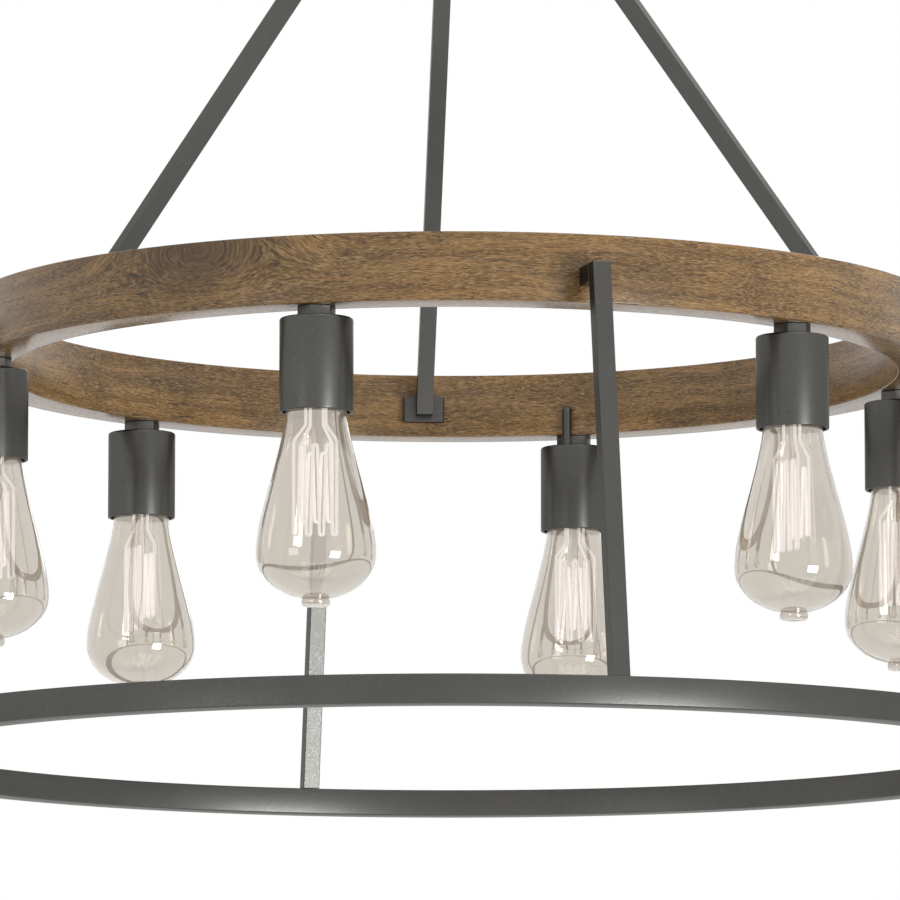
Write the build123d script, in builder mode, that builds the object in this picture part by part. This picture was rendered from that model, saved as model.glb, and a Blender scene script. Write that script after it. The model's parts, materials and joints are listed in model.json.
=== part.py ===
"""Industrial chandelier: a wood ring with bare bulbs, hung on sloping rods, over a wider steel ring."""

import os
from math import atan2, cos, hypot, radians, sin, sqrt, tan

from build123d import *

os.makedirs("parts", exist_ok=True)

# Driving dimensions in millimetres. The origin is on the ceiling, on the chandelier's axis, and +Z is up.
# Plan angles are in degrees, counted from the front towards the right.

# Clearances
thread_clearance = 0.05
running_clearance = 0.06
axial_clearance = 0.1
free_gap = 0.3

# Mounting bracket: a strap with a dropped middle and a slotted lug at each end
strap_width = 20.0
strap_thickness = 2.0
strap_drop = 12.0
slot_spacing = 88.9
slot_width = 4.6
slot_length = 10.0
lug_inner_margin = 2.5
lug_outer_margin = 8.5

# Canopy and its two knobbed screws
canopy_room = 3.4
canopy_wall = 1.2
canopy_depth = 26.0
canopy_edge_radius = 6.0
canopy_hole_gap = 0.5
canopy_screw_spacing = 56.0
canopy_screw_diameter = 4.0
canopy_screw_over = 1.0
canopy_knob_diameter = 12.0
canopy_knob_height = 9.0
canopy_knob_round = 2.5

# Swivel: a hollow journal in a flanged bush, and a fork with two pivot screws
bush_barrel_diameter = 13.0
bush_barrel_length = 9.0
bush_flange_diameter = 18.0
bush_flange_thickness = 2.0
journal_diameter = 10.0
journal_over_retainer = 1.0
retainer_diameter = 16.0
retainer_thickness = 6.0
fork_shoulder_diameter = 30.0
fork_shoulder_thickness = 6.0
fork_shoulder_gap = 0.5
fork_cheek_width = 19.2
fork_cheek_thickness = 4.0
pivot_diameter = 5.0
pivot_head_diameter = 8.0
pivot_head_thickness = 2.5
pivot_bore_margin = 0.6

# Stem and the coupling that hangs in the fork
tongue_width = 14.0
tongue_depth = 14.0
tongue_side_gap = 0.3
tongue_roof_gap = 1.5
coupling_neck = 13.0
coupling_diameter = 20.0
coupling_length = 16.0
stem_diameter = 13.0
stem_bore = 9.4
stem_seat = 12.0
stem_exposed_length = 150.0
wire_way_diameter = 6.0

# Hub where the three rods meet
hub_diameter = 44.0
hub_flat_radius = 20.0
hub_height = 36.0
hub_top_ledge = 2.0
hub_cavity_diameter = 26.0
hub_edge_round = 1.5
hub_cover_thickness = 3.0
hub_cover_spigot = 5.0
hub_finial_neck_diameter = 8.0
hub_finial_diameter = 14.0

# Wood ring, its wire groove and the groove's cover strip
wood_outer_diameter = 576.0
wood_thickness = 26.0
wood_height = 38.6
wood_edge_bevel = 1.0
groove_width = 8.0
groove_depth = 8.0
cover_ledge = 1.1
cover_thickness = 1.2
cover_side_gap = 0.1
wire_pocket_diameter = 7.0

# Sloping rods: square tube from the wood ring's inner face to the hub
rod_size = 10.0
rod_wall = 1.0
rod_angle = 64.0
rod_count = 3
rod_apex_height = 357.0
rod_bend_height = 2.1
rod_foot_height = -7.3
plate_width = 25.4
plate_height = 15.5
plate_thickness = 6.0
plate_centre_height = -3.0
plate_edge_bevel = 0.8
plate_seat_gap = 0.2
stud_diameter = 6.0
stud_bore = 3.6
stud_wood_depth = 9.0

# Lower ring and the four splayed bars that carry it
lower_ring_diameter = 711.0
lower_ring_width = 18.0
lower_ring_height = 16.0
lower_ring_wall = 1.5
lower_ring_bevel = 0.8
lower_ring_drop = 233.5
bar_size = 10.2
bar_angle = 15.1
bar_count = 4
bar_standoff = 16.8
bar_foot_inset = 9.5
tenon_diameter = 6.0
tenon_length = 5.0

# Lampholders
lamp_angle = 44.06
lamp_count = 6
nut_across_flats = 19.0
nut_height = 6.8
nipple_diameter = 9.6
nipple_wood_gap = 0.7
nipple_insert_depth = 8.0
cup_diameter = 41.2
cup_height = 52.7
cup_wall = 1.7
cup_top_wall = 3.0
cup_top_round = 1.6
cup_lip_round = 0.7
insert_side_gap = 0.2
insert_block_height = 11.7
insert_skirt_wall = 4.85
insert_skirt_height = 26.0
shell_side_gap = 0.2
shell_wall = 0.4
shell_lip = 0.5
tongue_contact_diameter = 8.0

# Earth pin beside one lampholder, against the wood ring's inner face
earth_pin_lamp = 3
earth_pin_diameter = 5.7
earth_pin_wood_gap = 0.15
earth_pin_seat = 2.0
earth_pin_top = -2.0
earth_pin_round = 2.4

# Leads inside the stem, one rod and the wood ring
lead_diameter = 3.0
ring_lead_diameter = 4.0
drop_lead_diameter = 2.4
lead_hub_hole_diameter = 5.4
lead_hub_bend = 9.0
lead_rod_bend = 6.0
lead_foot_bend = 3.0
lead_groove_lift = 0.05

# Bulb, measured from the lampholder's mouth
cap_radius = 12.9
cap_wall = 0.7
cap_thread_pitch = 3.629
cap_thread_depth = 0.6
cap_thread_turns = 5
cap_foot_height = 8.5
cap_top_length = 4.0
cap_opening_radius = 9.0
cap_top_thickness = 0.8
insulator_height = 3.0
contact_radius = 4.8
contact_height = 2.0
glass_wall = 0.8
glass_neck_gap = 0.2
glass_neck_length = 11.0
glass_mouth_radius = 17.0
glass_throat_radius = 18.4
glass_throat_depth = 10.4
glass_flank_radius = 29.75
glass_flank_depth = 55.5
glass_belly_radius = 33.25
glass_belly_depth = 79.0
glass_dome_height = 25.1
glass_tip_radius = 7.95
glass_tip_waist = 0.5
glass_tip_length = 4.3
glass_tip_round = 2.2
glass_tip_embed = 0.05
mount_radius = 7.2
mount_height = 3.0
mount_length = 6.0
mount_neck_gap = 0.1
mount_rod_radius = 2.2
mount_rod_depth = 19.0
filament_wire = 1.7
filament_pitch = 7.2
filament_hook_width = 2.4
filament_hook_bend = 1.1
filament_row_gap = 10.0
filament_front_hooks = 4
filament_front_top_depth = 18.5
filament_front_foot_depth = 69.0
filament_front_lead_spread = 5.6
filament_back_hooks = 3
filament_back_top_depth = 22.0
filament_back_foot_depth = 60.5
filament_back_lead_spread = 3.6
filament_lead_gap = 4.8
filament_lead_drop = 10.0
filament_shoulder_depth = 16.5
filament_shoulder_bend = 3.0
filament_turns = (-58.0, -50.0, 8.0, -62.0, 10.0, -5.0)

# Places worked out from the driving dimensions
web_outer = slot_spacing / 2 - slot_length / 2 - lug_inner_margin
web_inner = web_outer - strap_thickness
lug_end = slot_spacing / 2 + slot_length / 2 + lug_outer_margin
strap_floor = -strap_drop - strap_thickness
canopy_radius = hypot(lug_end, strap_width / 2) + canopy_room + canopy_wall

retainer_foot = -strap_drop + bush_flange_thickness + axial_clearance
journal_top = retainer_foot + retainer_thickness + journal_over_retainer
fork_top = -canopy_depth - fork_shoulder_gap
fork_roof = fork_top - fork_shoulder_thickness
fork_gap = tongue_width / 2 + tongue_side_gap
fork_side = fork_gap + fork_cheek_thickness
pivot_height = fork_roof - tongue_depth / 2 - tongue_roof_gap
coupling_top = pivot_height - coupling_neck
coupling_foot = coupling_top - coupling_length
hub_top = coupling_foot - stem_exposed_length
hub_middle = hub_top - hub_height / 2
hub_foot = hub_top - hub_height
hub_cavity_height = hub_height - stem_seat - hub_top_ledge

wood_outer_radius = wood_outer_diameter / 2
wood_inner_radius = wood_outer_radius - wood_thickness
wood_middle_radius = wood_outer_radius - wood_thickness / 2
rod_back_radius = wood_inner_radius - plate_thickness
rod_foot_radius = rod_back_radius - rod_size / 2
rod_slope = (rod_apex_height - rod_bend_height) / rod_foot_radius
wood_centre = hub_middle - rod_bend_height - rod_slope * (rod_foot_radius - hub_flat_radius)
wood_top = wood_centre + wood_height / 2
wood_foot = wood_centre - wood_height / 2
groove_floor = wood_top - groove_depth
plate_centre = wood_centre + plate_centre_height
rod_angles = [rod_angle + 360 / rod_count * n for n in range(rod_count)]
feed_angle = rod_angles[1]

lower_ring_radius = lower_ring_diameter / 2
lower_ring_top = wood_centre - lower_ring_drop
bar_angles = [bar_angle + 360 / bar_count * n for n in range(bar_count)]
bar_foot_radius = lower_ring_radius - bar_foot_inset
bar_lean = atan2(bar_foot_radius - wood_outer_radius - bar_standoff - bar_size / 2, lower_ring_drop)
bar_half_width = bar_size / 2 / cos(bar_lean)
bar_head_radius = wood_outer_radius + bar_standoff + bar_half_width

lamp_angles = [lamp_angle + 360 / lamp_count * n for n in range(lamp_count)]
cup_top = wood_foot - nut_height
cup_mouth = cup_top - cup_height
cup_inner_radius = cup_diameter / 2 - cup_wall
insert_top = cup_top - cup_top_wall
insert_block_foot = insert_top - insert_block_height
insert_radius = cup_inner_radius - insert_side_gap
insert_skirt_radius = insert_radius - insert_skirt_wall
shell_radius = insert_skirt_radius - shell_side_gap
cap_top_height = cap_foot_height + cap_thread_turns * cap_thread_pitch + cap_top_length
cap_root_radius = cap_radius - cap_thread_depth
cap_lining_radius = cap_root_radius - cap_wall
contact_top = cap_top_height + axial_clearance + insulator_height + contact_height
tongue_contact_length = insert_block_foot - cup_mouth - contact_top - free_gap
glass_neck_radius = cap_lining_radius - glass_neck_gap
glass_top = cap_foot_height + glass_neck_length
glass_foot_depth = glass_belly_depth + glass_dome_height
glass_tip_depth = glass_foot_depth + glass_tip_length
glass_tip_waist_radius = glass_tip_radius - glass_tip_waist
glass_tip_root = (
    glass_belly_depth
    + glass_dome_height * sqrt(1 - (glass_tip_waist_radius / glass_belly_radius) ** 2)
    - glass_tip_embed
)
lead_ring_height = groove_floor + ring_lead_diameter / 2 + lead_groove_lift


def outward(angle):
    """Level direction at a plan angle."""
    return Vector(sin(radians(angle)), -cos(radians(angle)), 0)


def spot(angle, radius, height):
    """Point at a plan angle, a radius from the axis and a height."""
    return outward(angle) * radius + Vector(0, 0, height)


def upright_plane(angle, height):
    """Upright plane through the axis: x runs outward at the angle, and y runs up from the height."""
    return Plane(origin=(0, 0, height), x_dir=outward(angle), z_dir=outward(angle).cross(Vector(0, 0, 1)))


def facing_plane(angle, radius, height):
    """Plane square to the outward direction, at a radius and a height."""
    return Plane(origin=spot(angle, radius, height), x_dir=(0, 0, 1), z_dir=outward(angle))


def lamp_plane(angle, height):
    """Upright plane through a lamp's own axis: x is level, and y runs up from the height."""
    return Plane(origin=spot(angle, wood_middle_radius, height), x_dir=(1, 0, 0), z_dir=(0, -1, 0))


def lamp_axis(angle):
    """A lamp's own upright axis."""
    return Axis(spot(angle, wood_middle_radius, 0), (0, 0, 1))


def around_lamps():
    """One place for each lamp, on the wood ring's middle line."""
    return PolarLocations(wood_middle_radius, lamp_count, start_angle=lamp_angle - 90)


def keep(piece, name):
    """Label a finished piece and write it."""
    piece.part.label = name
    export_step(piece.part, f"parts/{name}.step")


# Mounting bracket
with BuildPart() as mounting_bracket:
    with BuildSketch(Plane.XZ):
        with BuildLine():
            Polyline(
                (0, -strap_drop),
                (web_inner, -strap_drop),
                (web_inner, 0),
                (lug_end, 0),
                (lug_end, -strap_thickness),
                (web_outer, -strap_thickness),
                (web_outer, strap_floor),
                (0, strap_floor),
                close=True,
            )
        make_face()
        mirror(about=Plane.YZ)
    extrude(amount=strap_width / 2, both=True)
    with BuildSketch(Plane.XY):
        with GridLocations(slot_spacing, 0, 2, 1):
            SlotOverall(slot_length, slot_width)
    extrude(amount=-strap_thickness, mode=Mode.SUBTRACT)
    with BuildSketch(Plane.XY.offset(-strap_drop)):
        Circle(bush_barrel_diameter / 2 + thread_clearance)
        with GridLocations(canopy_screw_spacing, 0, 2, 1):
            Circle(canopy_screw_diameter / 2 + thread_clearance)
    extrude(amount=-strap_thickness, mode=Mode.SUBTRACT)
keep(mounting_bracket, "mounting_bracket")

# Flanged bush in the strap's middle
with BuildPart() as swivel_bush:
    with BuildSketch(Plane.XY.offset(-strap_drop)):
        Circle(bush_flange_diameter / 2)
    extrude(amount=bush_flange_thickness)
    with BuildSketch(Plane.XY.offset(-strap_drop)):
        Circle(bush_barrel_diameter / 2)
    extrude(amount=-bush_barrel_length)
    with BuildSketch(Plane.XY.offset(-strap_drop + bush_flange_thickness)):
        Circle(journal_diameter / 2 + running_clearance)
    extrude(amount=-bush_flange_thickness - bush_barrel_length, mode=Mode.SUBTRACT)
keep(swivel_bush, "swivel_bush")

# Canopy: a round dish whose rim meets the ceiling
with BuildPart() as canopy:
    with BuildSketch(Plane.XY):
        Circle(canopy_radius)
    extrude(amount=-canopy_depth)
    fillet(canopy.edges().group_by(Axis.Z)[0], radius=canopy_edge_radius)
    offset(amount=-canopy_wall, openings=canopy.faces().sort_by(Axis.Z)[-1])
    with BuildSketch(Plane.XY.offset(-canopy_depth)):
        Circle(journal_diameter / 2 + canopy_hole_gap)
        with GridLocations(canopy_screw_spacing, 0, 2, 1):
            Circle(canopy_screw_diameter / 2 + free_gap)
    extrude(amount=canopy_wall, mode=Mode.SUBTRACT)
keep(canopy, "canopy")

# Two knobbed screws that draw the canopy up to the strap
with BuildPart() as canopy_screws:
    with BuildSketch(Plane.XY.offset(-canopy_depth)):
        with GridLocations(canopy_screw_spacing, 0, 2, 1):
            Circle(canopy_knob_diameter / 2)
    extrude(amount=-canopy_knob_height)
    fillet(canopy_screws.edges().group_by(Axis.Z)[0], radius=canopy_knob_round)
    with BuildSketch(Plane.XY.offset(-canopy_depth)):
        with GridLocations(canopy_screw_spacing, 0, 2, 1):
            Circle(canopy_screw_diameter / 2)
    extrude(amount=canopy_depth - strap_drop + canopy_screw_over)
keep(canopy_screws, "canopy_screws")

# Swivel fork: hollow journal, shoulder and two cheeks
with BuildPart() as swivel_fork:
    with BuildSketch(Plane.XY.offset(fork_top)):
        Circle(journal_diameter / 2)
    extrude(amount=journal_top - fork_top)
    with BuildSketch(Plane.XY.offset(fork_top)):
        Circle(fork_shoulder_diameter / 2)
    extrude(amount=-fork_shoulder_thickness)
    with BuildSketch(Plane.YZ):
        with Locations((0, (fork_roof + pivot_height) / 2)):
            Rectangle(fork_cheek_width, fork_roof - pivot_height)
        with Locations((0, pivot_height)):
            Circle(fork_cheek_width / 2)
    extrude(amount=fork_side, both=True)
    with BuildSketch(Plane.YZ):
        with Locations((0, fork_roof)):
            Rectangle(
                fork_shoulder_diameter,
                fork_roof - pivot_height + fork_cheek_width,
                align=(Align.CENTER, Align.MAX),
            )
    extrude(amount=fork_gap, both=True, mode=Mode.SUBTRACT)
    with BuildSketch(Plane.XY.offset(journal_top)):
        Circle(wire_way_diameter / 2)
    extrude(amount=fork_roof - journal_top, mode=Mode.SUBTRACT)
    with BuildSketch(Plane.YZ):
        with Locations((0, pivot_height)):
            Circle(pivot_diameter / 2 + thread_clearance)
    extrude(amount=fork_side, both=True, mode=Mode.SUBTRACT)
keep(swivel_fork, "swivel_fork")

# Round nut that holds the journal up in its bush
with BuildPart() as swivel_retainer:
    with BuildSketch(Plane.XY.offset(retainer_foot)):
        Circle(retainer_diameter / 2)
        Circle(journal_diameter / 2 + thread_clearance, mode=Mode.SUBTRACT)
    extrude(amount=retainer_thickness)
keep(swivel_retainer, "swivel_retainer")

# Two pivot screws, one through each cheek, that leave the wire way open
with BuildPart() as pivot_screws:
    for side in (1, -1):
        with BuildSketch(Plane(origin=(side * fork_side, 0, pivot_height), z_dir=(side, 0, 0))):
            Circle(pivot_head_diameter / 2)
        extrude(amount=pivot_head_thickness)
        with BuildSketch(Plane(origin=(side * fork_side, 0, pivot_height), z_dir=(side, 0, 0))):
            Circle(pivot_diameter / 2)
        extrude(amount=wire_way_diameter / 2 + pivot_bore_margin - fork_side)
keep(pivot_screws, "pivot_screws")

# Coupling: a rounded tongue in the fork and a socket for the stem
with BuildPart() as stem_coupling:
    with BuildSketch(Plane.YZ):
        with Locations((0, (pivot_height + coupling_top) / 2)):
            Rectangle(tongue_depth, coupling_neck)
        with Locations((0, pivot_height)):
            Circle(tongue_depth / 2)
    extrude(amount=tongue_width / 2, both=True)
    with BuildSketch(Plane.XY.offset(coupling_top)):
        Circle(coupling_diameter / 2)
    extrude(amount=-coupling_length)
    with BuildSketch(Plane.XY.offset(coupling_foot)):
        Circle(stem_diameter / 2 + thread_clearance)
    extrude(amount=stem_seat, mode=Mode.SUBTRACT)
    with BuildSketch(Plane.XY.offset(pivot_height + tongue_depth)):
        Circle(wire_way_diameter / 2)
    extrude(amount=coupling_foot - pivot_height - tongue_depth, mode=Mode.SUBTRACT)
    with BuildSketch(Plane.YZ):
        with Locations((0, pivot_height)):
            Circle(pivot_diameter / 2 + running_clearance)
    extrude(amount=tongue_width / 2, both=True, mode=Mode.SUBTRACT)
keep(stem_coupling, "stem_coupling")

# Stem tube between the coupling and the hub
with BuildPart() as stem:
    with BuildSketch(Plane.XY.offset(coupling_foot + stem_seat)):
        Circle(stem_diameter / 2)
        Circle(stem_bore / 2, mode=Mode.SUBTRACT)
    extrude(amount=-stem_exposed_length - 2 * stem_seat)
keep(stem, "stem")

# Hub: a turned body with a flat for each rod, hollow below and drilled towards the feed rod
with BuildPart() as hub:
    with BuildSketch(Plane.XY.offset(hub_top)):
        Circle(hub_diameter / 2)
    extrude(amount=-hub_height)
    fillet(hub.edges().filter_by(GeomType.CIRCLE), radius=hub_edge_round)
    with BuildSketch(Plane.XY.offset(hub_top)):
        with PolarLocations(hub_flat_radius + hub_diameter / 2, rod_count, start_angle=rod_angle - 90):
            Rectangle(hub_diameter, hub_diameter)
    extrude(amount=-hub_height, mode=Mode.SUBTRACT)
    with BuildSketch(Plane.XY.offset(hub_top)):
        Circle(stem_diameter / 2 + thread_clearance)
    extrude(amount=-stem_seat, mode=Mode.SUBTRACT)
    with BuildSketch(Plane.XY.offset(hub_top)):
        Circle(stem_bore / 2)
    extrude(amount=-hub_height, mode=Mode.SUBTRACT)
    with BuildSketch(Plane.XY.offset(hub_foot)):
        Circle(hub_cavity_diameter / 2)
    extrude(amount=hub_cavity_height, mode=Mode.SUBTRACT)
    with BuildSketch(facing_plane(feed_angle, 0, hub_middle)):
        Circle(lead_hub_hole_diameter / 2)
    extrude(amount=hub_diameter / 2, mode=Mode.SUBTRACT)
keep(hub, "hub")

# Cover that screws into the hub from below, with a small turned finial
with BuildPart() as hub_cover:
    with BuildSketch(Plane.XY.offset(hub_foot)):
        Circle(hub_flat_radius)
    extrude(amount=-hub_cover_thickness)
    with BuildSketch(Plane.XY.offset(hub_foot)):
        Circle(hub_cavity_diameter / 2 - thread_clearance)
    extrude(amount=hub_cover_spigot)
    with BuildSketch(Plane.XY.offset(hub_foot - hub_cover_thickness)):
        Circle(hub_finial_neck_diameter / 2)
    extrude(amount=-hub_finial_diameter / 2)
    with Locations((0, 0, hub_foot - hub_cover_thickness - hub_finial_diameter / 2)):
        Sphere(hub_finial_diameter / 2)
keep(hub_cover, "hub_cover")


def rod_edge(side, foot_lift):
    """One long edge of a rod seen from the side, as (radius, height) points from its foot to the hub.

    The side is the edge's distance behind the rod's centre line, and the foot may be lifted.
    """
    lean = atan2(1, rod_slope)
    run = (rod_foot_radius + side * cos(lean) - hub_flat_radius) / sin(lean)
    return [
        (rod_foot_radius + side, rod_foot_height + foot_lift),
        (rod_foot_radius + side, rod_bend_height + side * tan(lean / 2)),
        (hub_flat_radius, rod_bend_height + run * cos(lean) + side * sin(lean)),
    ]


# Sloping rods: square tubes with a short upright foot
for position, angle in zip(("right", "back", "left"), rod_angles):
    with BuildPart() as rod:
        with BuildSketch(upright_plane(angle, wood_centre)):
            with BuildLine():
                Polyline(*rod_edge(rod_size / 2, 0), *reversed(rod_edge(-rod_size / 2, 0)), close=True)
            make_face()
        extrude(amount=rod_size / 2, both=True)
        bore = rod_size / 2 - rod_wall
        with BuildSketch(upright_plane(angle, wood_centre)):
            with BuildLine():
                Polyline(*rod_edge(bore, rod_wall), *reversed(rod_edge(-bore, rod_wall)), close=True)
            make_face()
        extrude(amount=bore, both=True, mode=Mode.SUBTRACT)
        with BuildSketch(facing_plane(angle, rod_back_radius, plate_centre)):
            Circle(stud_diameter / 2 + thread_clearance)
        extrude(amount=-rod_wall, mode=Mode.SUBTRACT)
    keep(rod, f"rod_{position}")

# Plates between the rods' feet and the wood, flat in front and rounded behind
with BuildPart() as rod_plates:
    for angle in rod_angles:
        with BuildSketch(facing_plane(angle, rod_back_radius, plate_centre)):
            Rectangle(plate_height, plate_width)
        extrude(amount=plate_thickness)
    chamfer(rod_plates.edges().filter_by(Axis.Z), length=plate_edge_bevel)
    for angle in rod_angles:
        with BuildSketch(facing_plane(angle, rod_back_radius, plate_centre)):
            Circle(stud_diameter / 2 + thread_clearance)
        extrude(amount=plate_thickness, mode=Mode.SUBTRACT)
    with BuildSketch(Plane.XY.offset(plate_centre - plate_height)):
        Circle(wood_inner_radius - plate_seat_gap)
    extrude(amount=2 * plate_height, mode=Mode.INTERSECT)
keep(rod_plates, "rod_plates")

# Hollow studs that hold the rods' feet and plates to the wood
with BuildPart() as plate_studs:
    for angle in rod_angles:
        with BuildSketch(facing_plane(angle, rod_back_radius - rod_wall, plate_centre)):
            Circle(stud_diameter / 2)
            Circle(stud_bore / 2, mode=Mode.SUBTRACT)
        extrude(amount=rod_wall + plate_thickness + stud_wood_depth)
keep(plate_studs, "plate_studs")

# Wood ring with its wire groove, drilled for studs, tenons, lampholders and the feed lead
with BuildPart() as wood_ring:
    with BuildSketch(Plane.XZ) as wood_section:
        with Locations((wood_middle_radius, wood_centre)):
            Rectangle(wood_thickness, wood_height)
        chamfer(wood_section.vertices(), length=wood_edge_bevel)
    revolve(axis=Axis.Z)
    with BuildSketch(Plane.XZ):
        with Locations((wood_middle_radius, wood_top)):
            Rectangle(groove_width, groove_depth, align=(Align.CENTER, Align.MAX))
            Rectangle(groove_width + 2 * cover_ledge, cover_thickness, align=(Align.CENTER, Align.MAX))
    revolve(axis=Axis.Z, mode=Mode.SUBTRACT)
    with BuildSketch(Plane.XY.offset(wood_foot)):
        with around_lamps():
            Circle(nipple_diameter / 2 + thread_clearance)
    extrude(amount=wood_height - groove_depth, mode=Mode.SUBTRACT)
    for angle in rod_angles:
        with BuildSketch(facing_plane(angle, rod_back_radius, plate_centre)):
            Circle(stud_diameter / 2 + thread_clearance)
        extrude(amount=wood_middle_radius - rod_back_radius, mode=Mode.SUBTRACT)
    with BuildSketch(Plane.XY.offset(groove_floor)):
        with Locations(spot(feed_angle, wood_middle_radius, 0)):
            Circle(wire_pocket_diameter / 2)
    extrude(amount=plate_centre - wire_pocket_diameter / 2 - groove_floor, mode=Mode.SUBTRACT)
    for angle in bar_angles:
        with BuildSketch(facing_plane(angle, wood_outer_radius - tenon_length, wood_centre - bar_size / 2)):
            Circle(tenon_diameter / 2 + thread_clearance)
        extrude(amount=tenon_length, mode=Mode.SUBTRACT)
keep(wood_ring, "wood_ring")

# Cover strip, flush with the wood ring's top
with BuildPart() as wire_cover:
    with BuildSketch(Plane.XZ):
        with Locations((wood_middle_radius, wood_top)):
            Rectangle(
                groove_width + 2 * cover_ledge - 2 * cover_side_gap,
                cover_thickness,
                align=(Align.CENTER, Align.MAX),
            )
    revolve(axis=Axis.Z)
keep(wire_cover, "wire_cover")

# Leads: down the stem, along the feed rod, round the groove and down to each lampholder
with BuildPart() as wiring:
    with BuildLine(upright_plane(feed_angle, 0)) as feed_route:
        FilletPolyline(
            (0, coupling_foot + stem_seat),
            (0, hub_middle),
            (hub_flat_radius, hub_middle),
            (rod_foot_radius, wood_centre + rod_bend_height),
            (rod_foot_radius, plate_centre),
            (wood_middle_radius, plate_centre),
            (wood_middle_radius, groove_floor),
            radius=[lead_hub_bend, lead_rod_bend, lead_rod_bend, lead_foot_bend, lead_foot_bend],
        )
    with BuildSketch(Plane.XY.offset(coupling_foot + stem_seat)):
        Circle(lead_diameter / 2)
    sweep()
    with BuildSketch(Plane.XZ):
        with Locations((wood_middle_radius, lead_ring_height)):
            Circle(ring_lead_diameter / 2)
    revolve(axis=Axis.Z)
    with BuildSketch(Plane.XY.offset(groove_floor)):
        with around_lamps():
            Circle(drop_lead_diameter / 2)
    extrude(amount=insert_top - nipple_insert_depth - groove_floor)
keep(wiring, "wiring")


def bar_inner_radius(drop):
    """Radius of a splayed bar's inner face at a drop below the wood ring's middle."""
    return bar_head_radius - bar_half_width + drop * tan(bar_lean)


# Splayed bars that stand on the lower ring
for position, angle in zip(("front", "right", "back", "left"), bar_angles):
    with BuildPart() as bar:
        with BuildSketch(upright_plane(angle, wood_centre)):
            with BuildLine():
                Polyline(
                    (bar_inner_radius(0), 0),
                    (bar_inner_radius(0) + 2 * bar_half_width, 0),
                    (bar_inner_radius(lower_ring_drop) + 2 * bar_half_width, -lower_ring_drop),
                    (bar_inner_radius(lower_ring_drop), -lower_ring_drop),
                    close=True,
                )
            make_face()
        extrude(amount=bar_size / 2, both=True)
    keep(bar, f"bar_{position}")

# Stubs between the wood ring and the bars' heads, each with a tenon in the wood
with BuildPart() as bar_stubs:
    for angle in bar_angles:
        with BuildSketch(upright_plane(angle, wood_centre)):
            with BuildLine():
                Polyline(
                    (wood_outer_radius, 0),
                    (bar_inner_radius(0), 0),
                    (bar_inner_radius(bar_size), -bar_size),
                    (wood_outer_radius, -bar_size),
                    close=True,
                )
            make_face()
        extrude(amount=bar_size / 2, both=True)
        with BuildSketch(facing_plane(angle, wood_outer_radius, wood_centre - bar_size / 2)):
            Circle(tenon_diameter / 2)
        extrude(amount=-tenon_length)
keep(bar_stubs, "bar_stubs")

# Lower ring: rolled rectangular tube
with BuildPart() as lower_ring:
    with BuildSketch(Plane.XZ) as ring_section:
        with Locations((lower_ring_radius - lower_ring_width / 2, lower_ring_top - lower_ring_height / 2)):
            Rectangle(lower_ring_width, lower_ring_height)
            chamfer(ring_section.vertices(), length=lower_ring_bevel)
            Rectangle(
                lower_ring_width - 2 * lower_ring_wall,
                lower_ring_height - 2 * lower_ring_wall,
                mode=Mode.SUBTRACT,
            )
    revolve(axis=Axis.Z)
keep(lower_ring, "lower_ring")

# Earth pin: stands on a lampholder's shoulder, against the wood ring's inner face
earth_pin_angle = lamp_angles[earth_pin_lamp - 1]
earth_pin_radius = wood_inner_radius - earth_pin_diameter / 2 - earth_pin_wood_gap
with BuildPart() as earth_pin:
    with BuildSketch(Plane.XY.offset(cup_top - earth_pin_seat)):
        with Locations(spot(earth_pin_angle, earth_pin_radius, 0)):
            Circle(earth_pin_diameter / 2)
    extrude(amount=wood_centre + earth_pin_top - cup_top + earth_pin_seat)
    fillet(earth_pin.edges().group_by(Axis.Z)[-1], radius=earth_pin_round)
keep(earth_pin, "earth_pin")

# Hex nuts that lock the lampholders' nipples under the wood
with BuildPart() as lampholder_nuts:
    with BuildSketch(Plane.XY.offset(cup_top)):
        with around_lamps():
            RegularPolygon(nut_across_flats / 2, 6, major_radius=False)
            Circle(nipple_diameter / 2 + thread_clearance, mode=Mode.SUBTRACT)
    extrude(amount=nut_height)
keep(lampholder_nuts, "lampholder_nuts")

# Threaded nipples from the wood into the lampholders
with BuildPart() as lampholder_nipples:
    with BuildSketch(Plane.XY.offset(insert_top - nipple_insert_depth)):
        with around_lamps():
            Circle(nipple_diameter / 2)
            Circle(wire_way_diameter / 2, mode=Mode.SUBTRACT)
    extrude(amount=groove_floor - nipple_wood_gap - insert_top + nipple_insert_depth)
keep(lampholder_nipples, "lampholder_nipples")

# Porcelain inserts: a block that takes the nipple, and a skirt round the screw shell
with BuildPart() as lampholder_inserts:
    with BuildSketch(Plane.XY.offset(insert_block_foot)):
        with around_lamps():
            Circle(insert_radius)
    extrude(amount=insert_block_height)
    with BuildSketch(Plane.XY.offset(insert_block_foot)):
        with around_lamps():
            Circle(insert_radius)
            Circle(insert_skirt_radius, mode=Mode.SUBTRACT)
    extrude(amount=-insert_skirt_height)
    with BuildSketch(Plane.XY.offset(insert_top)):
        with around_lamps():
            Circle(nipple_diameter / 2 + thread_clearance)
    extrude(amount=-nipple_insert_depth, mode=Mode.SUBTRACT)
keep(lampholder_inserts, "lampholder_inserts")

# Brass screw shells and centre contacts
with BuildPart() as lampholder_contacts:
    with BuildSketch(Plane.XY.offset(insert_block_foot)):
        with around_lamps():
            Circle(shell_radius)
            Circle(shell_radius - shell_wall, mode=Mode.SUBTRACT)
    extrude(amount=shell_lip - insert_skirt_height)
    with BuildSketch(Plane.XY.offset(insert_block_foot)):
        with around_lamps():
            Circle(tongue_contact_diameter / 2)
    extrude(amount=-tongue_contact_length)
keep(lampholder_contacts, "lampholder_contacts")

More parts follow.
